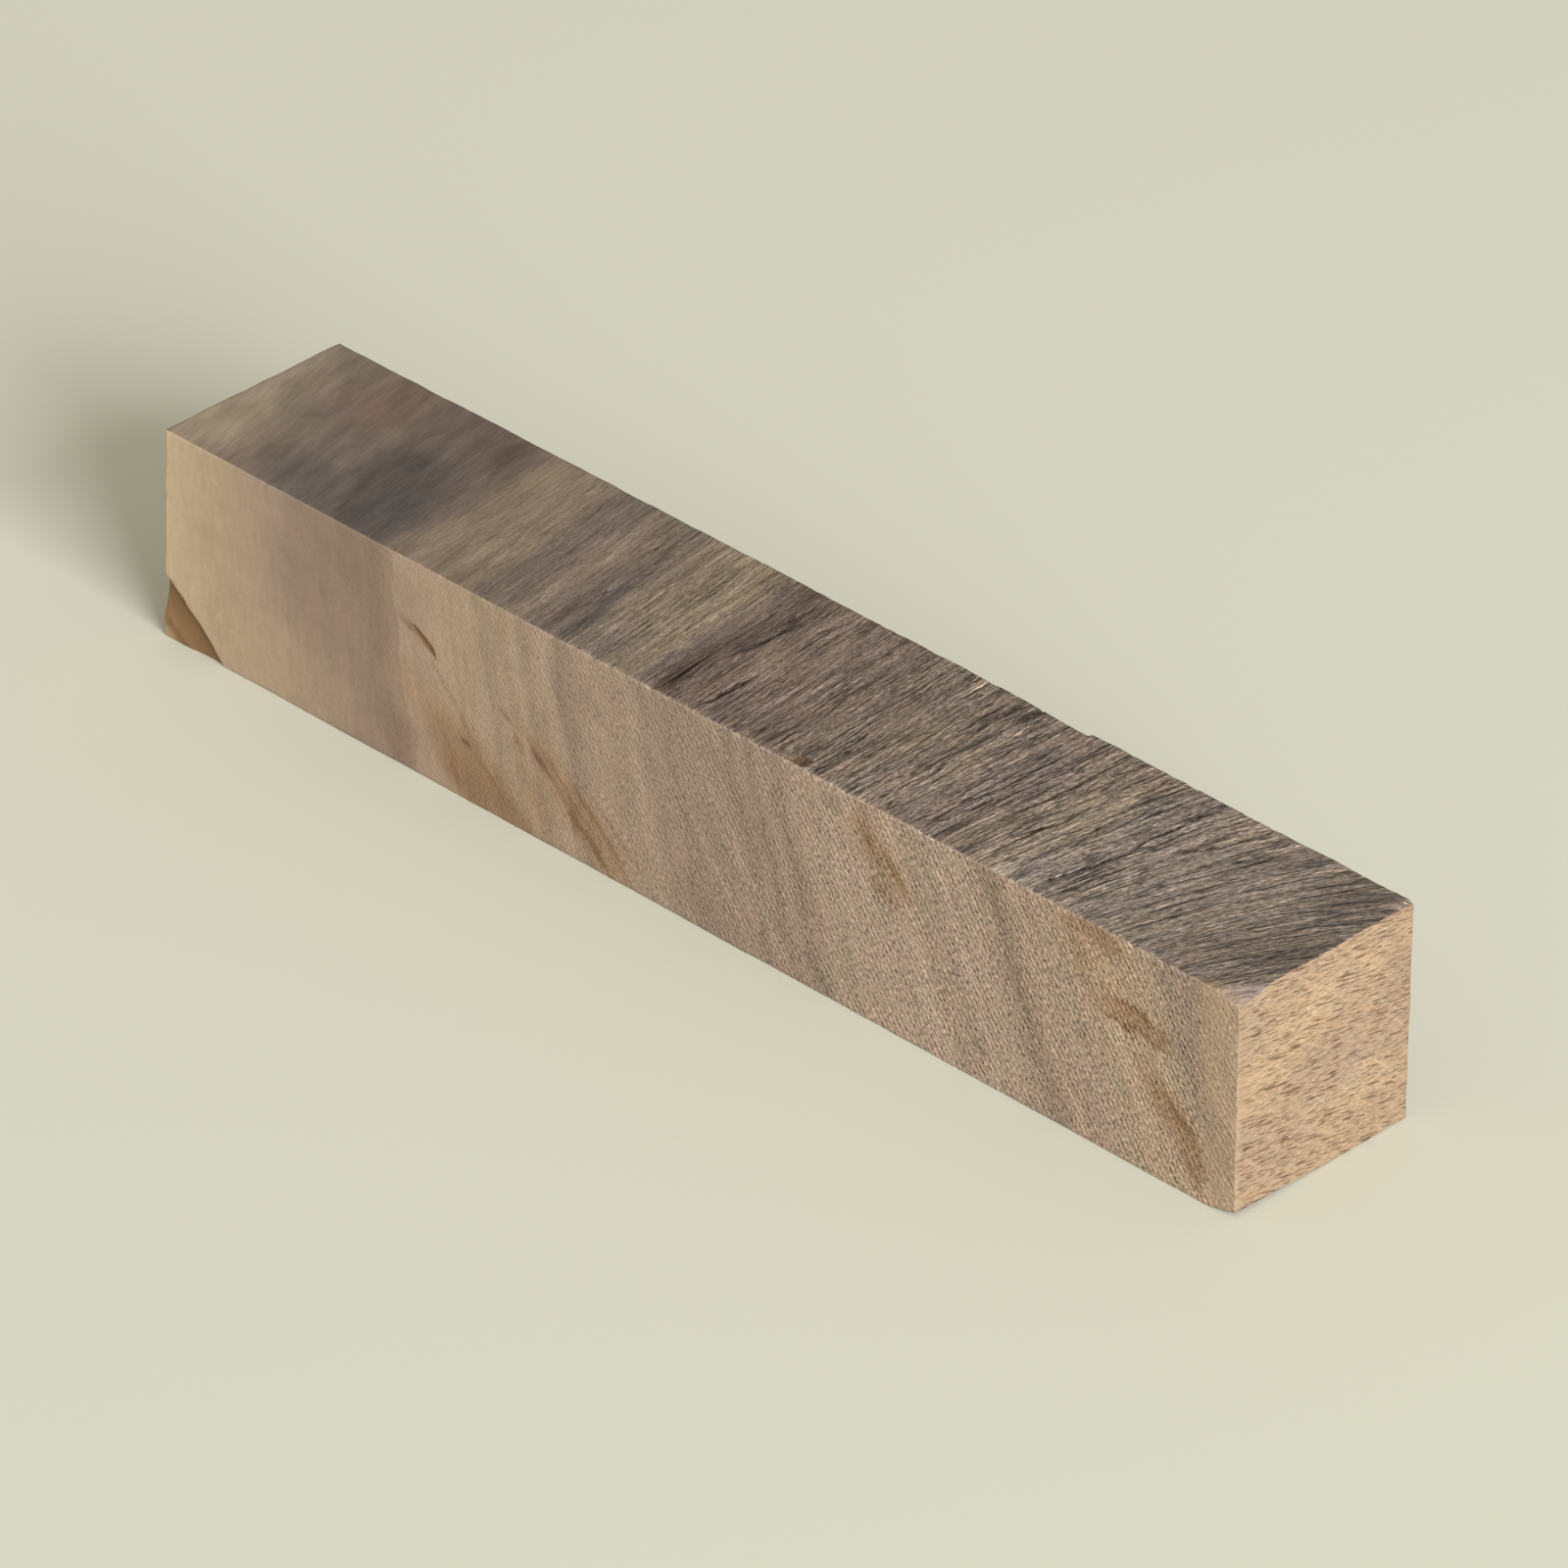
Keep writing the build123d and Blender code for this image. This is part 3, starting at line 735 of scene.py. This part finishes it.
def ring_tones(tree, places, face, rings):
    """The growth rings' colours, with the front face's sharp ring edges laid over them."""
    ramp_start, ramp_end = -10.0, 120.0
    on_ramp = add(tree, "MapRange", {
        "Value": places["ring"], "From Min": ramp_start, "From Max": ramp_end,
    })
    colour = add(tree, "ValToRGB", [on_ramp])
    stops = colour.node.color_ramp.elements
    while len(stops) < len(rings):
        stops.new(1.0)

    # All the places come before the tones, because a stop that passes another changes number
    for stop, (from_far_end, _) in zip(stops, rings):
        stop.position = (from_far_end - ramp_start) / (ramp_end - ramp_start)
    for stop, (_, tone) in zip(stops, rings):
        stop.color = paint(tone)

    for edge, width, tone, strength in ring_edges if face == "front" else ():
        rise = add(tree, "MapRange", {
            "Value": places["ring"], "From Min": edge, "From Max": edge + ring_edge_width,
        })
        fall = add(tree, "MapRange", {
            "Value": places["ring"], "From Min": edge + width, "From Max": edge + ring_edge_width,
            "To Max": strength,
        })
        layer = add(tree, "Math", [rise, fall], operation="MULTIPLY")
        colour = add(tree, "Mix", {
            how_much: layer, under: colour, over: paint(tone),
        }, mixed, **laid_over)
    return colour


def stained(tree, places, face, colour, stains):
    """A colour with the stains laid over it, their edges run out in streaks."""
    sizes, turn, way = smears[face]
    smear = add(tree, "Mapping", [
        places["grain"], (0, 0, 0), clockwise(face, turn), sizes,
    ], vector_type="TEXTURE")
    smear = add(tree, "TexNoise", {
        "Vector": smear, "Scale": 1.0, "Detail": 4.0, "Roughness": 0.65,
    })
    smear = add(tree, "Math", [smear, 0.5], operation="SUBTRACT")
    warped = add(tree, "VectorMath", [
        places["drift"], [stain_drift_mm] * 3, places["mm"],
    ], operation="MULTIPLY_ADD")
    warped = add(tree, "VectorMath", [smear, way, warped], operation="MULTIPLY_ADD")
    for along, down, half_long, half_wide, turn, tone, strength, softness in stains:
        in_stain = add(tree, "Mapping", [
            warped, on_face(face, along, down), clockwise(face, turn),
            stain_size(face, half_long, half_wide),
        ], vector_type="TEXTURE")
        from_middle = add(tree, "VectorMath", [in_stain], out="Value", operation="LENGTH")
        mask = add(tree, "MapRange", {
            "Value": from_middle, "From Min": 1 + softness, "From Max": 1 - softness,
            "To Max": strength,
        }, **smooth)
        colour = add(tree, "Mix", {
            how_much: mask, under: colour, over: paint(tone),
        }, mixed, **laid_over)
    return colour


def textured(tree, places, face, colour, layers):
    """A colour with the texture layers multiplied into it, and their relief in mm."""
    # Within a ring the wood turns from open to dense, in bands 1 to 3 mm wide, with more
    # pores in the open ones
    ring_place = add(tree, "CombineXYZ", [places["ring"], 0.0, 0.0])
    bands = add(tree, "TexNoise", {"Vector": ring_place, "Scale": 0.42, "Detail": 2.0})
    band_limits = {"Value": bands, "From Min": 0.3, "From Max": 0.7}
    band_shade = add(tree, "MapRange", {**band_limits, "To Min": 0.81, "To Max": 1.11})
    open_wood = add(tree, "MapRange", {**band_limits, "To Min": 1.0, "To Max": 0.45})

    # Fine grain is faint in the pale wood at the far end and strong from the middle on, while
    # the soft mottling is strongest at the far end
    vivid = add(tree, "MapRange", {
        "Value": places["x"], "From Min": -50.0, "From Max": 30.0 if face == "top" else 38.0,
        "To Min": 0.06,
    }, **smooth)
    calm = add(tree, "MapRange", {
        "Value": places["x"], "From Min": -10.0, "From Max": 30.0, "To Min": 1.0, "To Max": 0.6,
    })
    if face == "front":
        banded = add(tree, "MapRange", {
            "Value": places["x"], "From Min": -48.0, "From Max": -20.0, "To Min": 0.25,
        })
        colour = add(tree, "Mix", {
            how_much: banded, under: colour, over: band_shade,
        }, mixed, **multiplied)

    # Torn fibres are dense where a slow drift is high, and few elsewhere
    dense_place = add(tree, "SeparateXYZ", [places["drift"]], out="Y")
    dense = add(tree, "MapRange", {
        "Value": dense_place, "From Min": -0.08, "From Max": 0.04, "To Min": 0.35,
    }, **smooth)

    relief = 0.0
    in_row = 1.0
    for kind, sizes, turn, levels, shades, depth in layers:
        in_layer = add(tree, "Mapping", [
            places["grain"], (0, 0, 0), clockwise(face, turn), sizes,
        ], vector_type="TEXTURE")
        amount = calm if kind == "clouds" else vivid
        if kind == "pores":
            swell = add(tree, "TexVoronoi", {
                "Vector": in_layer, "Scale": 1.0, "Randomness": 1.0,
            }, out="Distance")
            amount = add(tree, "Math", [vivid, open_wood], operation="MULTIPLY")
            amount = add(tree, "Math", [amount, in_row], operation="MULTIPLY")
        elif kind == "rows":
            swell = add(tree, "TexWave", {
                "Vector": in_layer, "Scale": math.tau / 20, "Distortion": 3.0, "Detail": 1.0,
            }, out="Fac", bands_direction="Z")
            in_row = add(tree, "MapRange", {
                "Value": swell, "From Min": 0.75, "From Max": 0.2, "To Min": 0.5,
            })
        else:
            swell = add(tree, "TexNoise", {
                "Vector": in_layer, "Scale": 1.0, "Detail": 1.0 if kind == "hairs" else 2.0,
                "Roughness": 0.55,
            })
        if kind == "dashes":
            amount = add(tree, "Math", [vivid, dense], operation="MULTIPLY")
        if kind == "hairs":
            swell = add(tree, "Math", [swell, 0.5], operation="SUBTRACT")
            swell = add(tree, "Math", [swell], operation="ABSOLUTE")
            patch = add(tree, "TexNoise", {"Vector": in_layer, "Scale": 0.7, "Detail": 1.0})
            patch = add(tree, "MapRange", {
                "Value": patch, "From Min": 0.44, "From Max": 0.56,
            }, **smooth)
            amount = add(tree, "Math", [vivid, patch], operation="MULTIPLY")
        swell = add(tree, "MapRange", {
            "Value": swell, "From Min": levels[0], "From Max": levels[1],
        })
        low, high = [(*s, 1.0) if isinstance(s, tuple) else (s, s, s, 1.0) for s in shades]
        shade = add(tree, "Mix", {how_much: swell, under: low, over: high}, mixed, **laid_over)
        colour = add(tree, "Mix", {
            how_much: amount, under: colour, over: shade,
        }, mixed, **multiplied)
        if depth:
            swell = add(tree, "Math", [swell, depth], operation="MULTIPLY")
            relief = add(tree, "Math", [swell, amount, relief], operation="MULTIPLY_ADD")
    return colour, relief


def marked(tree, face, colour):
    """A colour with the bark pocket and the small marks laid over it, by their masks."""
    # The pocket is dark under its lip, partly bark and partly painted shade of the lip, and turns
    # from bark brown to tan wood
    if face == "front":
        pocket = add(tree, "Attribute", out="Fac", attribute_name="bark_and_lip_shade")
        in_pocket = add(tree, "MapRange", {
            "Value": pocket, "From Max": 0.12, "To Max": 0.95,
        }, **smooth)
        pocket_tone = add(tree, "ValToRGB", [pocket])
        stops = pocket_tone.node.color_ramp.elements
        stops.new(0.5)
        for stop, (place_in_pocket, tone) in zip(stops, pocket_tones):
            stop.position = place_in_pocket
            stop.color = paint(tone)
        colour = add(tree, "Mix", {
            how_much: in_pocket, under: colour, over: pocket_tone,
        }, mixed, **laid_over)
    for mark, tone, strength, starts, sharpness in marks:
        amount = add(tree, "Attribute", out="Fac", attribute_name=mark)
        amount = add(tree, "MapRange", {
            "Value": amount, "From Min": starts, "From Max": starts + sharpness,
            "To Max": strength,
        })
        colour = add(tree, "Mix", {
            how_much: amount, under: colour, over: paint(tone),
        }, mixed, **laid_over)
    return colour


# The materials, in the order of their numbers: end grain is fine and even, crosscut wood has
# short dark dashes on tan, and torn side grain is grey-brown and fibrous. All are dull.
for name, face, rings, stains, layers in (
    ("end_grain_walnut", "front", front_rings, front_stains, front_layers),
    ("crosscut_walnut", "end", end_rings, end_stains, end_layers),
    ("torn_side_grain_walnut", "top", top_rings, top_stains, top_layers),
):
    walnut = new_material(name)
    tree = walnut.node_tree
    places = wood_places(tree, face)
    colour = ring_tones(tree, places, face, rings)
    colour = stained(tree, places, face, colour, stains)
    colour, relief = textured(tree, places, face, colour, layers)
    colour = marked(tree, face, colour)
    bumps = add(tree, "Bump", {"Distance": bump_unit_m, "Height": relief}, out="Normal")
    look = add(tree, "BsdfPrincipled", {
        "Base Color": colour, "Roughness": 0.82, "Specular IOR Level": 0.25, "Normal": bumps,
    })
    add(tree, "OutputMaterial", {"Surface": look})
    blank_mesh.materials.append(walnut)
